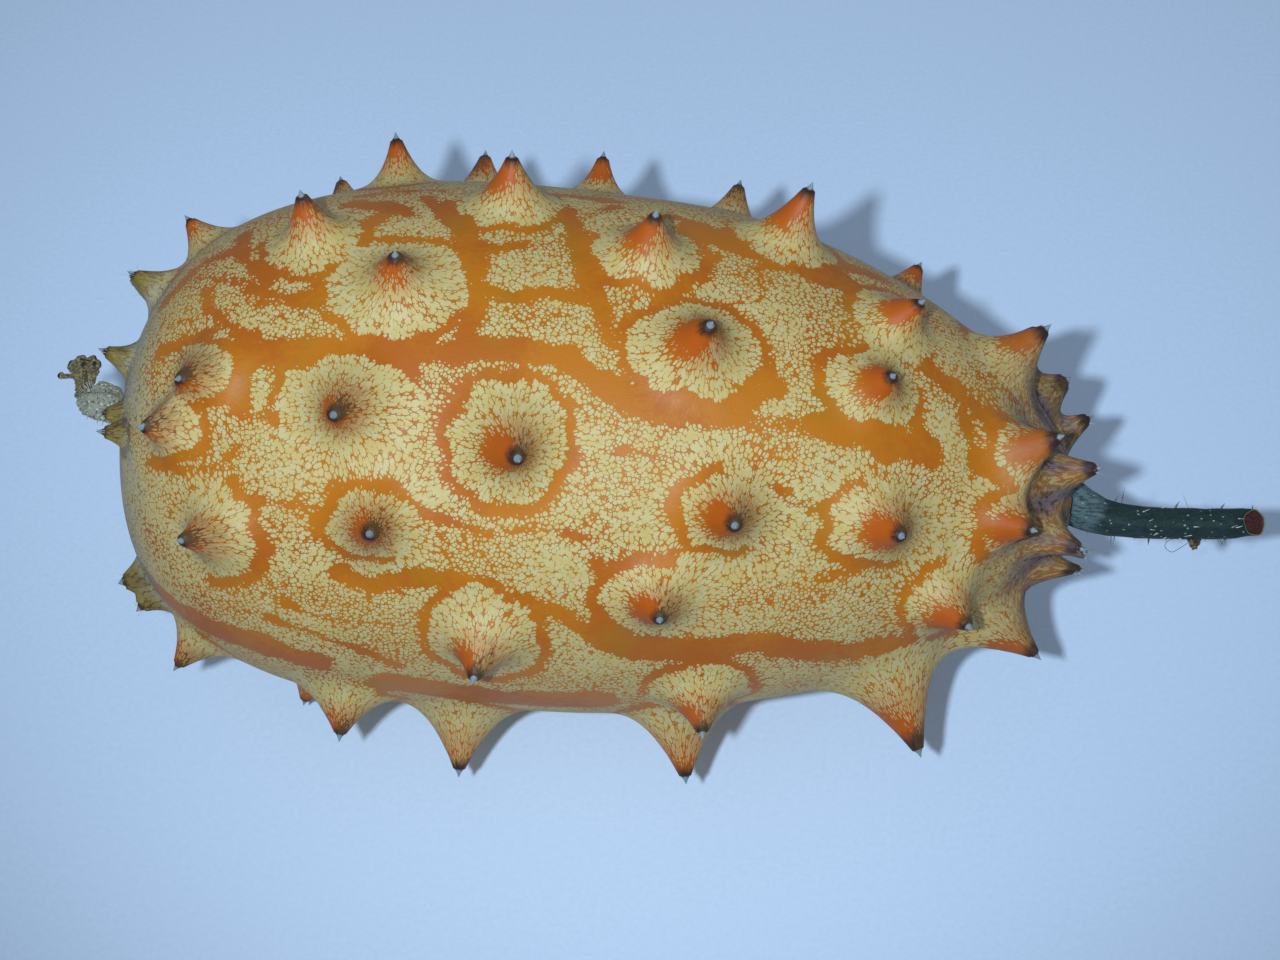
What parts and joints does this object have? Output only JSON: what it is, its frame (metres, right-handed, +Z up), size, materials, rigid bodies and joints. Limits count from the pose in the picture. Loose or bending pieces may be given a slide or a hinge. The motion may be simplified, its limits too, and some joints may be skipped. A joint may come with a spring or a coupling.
{
  "type": "horned melon",
  "caption": "Ripe horned melon lying on its side on three of its horns: a long horned orange and cream fruit with its cut stalk and dried flower.",
  "frame": {"origin": "bottom centre of the whole part's bounding box, on the surface that the fruit's three lowest horns stand on", "axes": "+X along the fruit towards its stalk, +Z up, -Y towards the side with the marked front"},
  "size_m": [0.1516, 0.0784, 0.0766],
  "materials": {
    "rind": "firm waxy fruit skin, half gloss, orange with cream grains in rings and bands, brown horn ends with pale bristle points",
    "stalk": "matte ribbed blue-green stalk with pale flecks, short bristles and a brown cut face",
    "withered_flower": "dry matte crumpled brown tissue, paler and hairy at its seat"
  },
  "bodies": {
    "root": {"rind": "rind", "stalk": "stalk", "withered_flower": "withered_flower"}
  },
  "joints": []
}
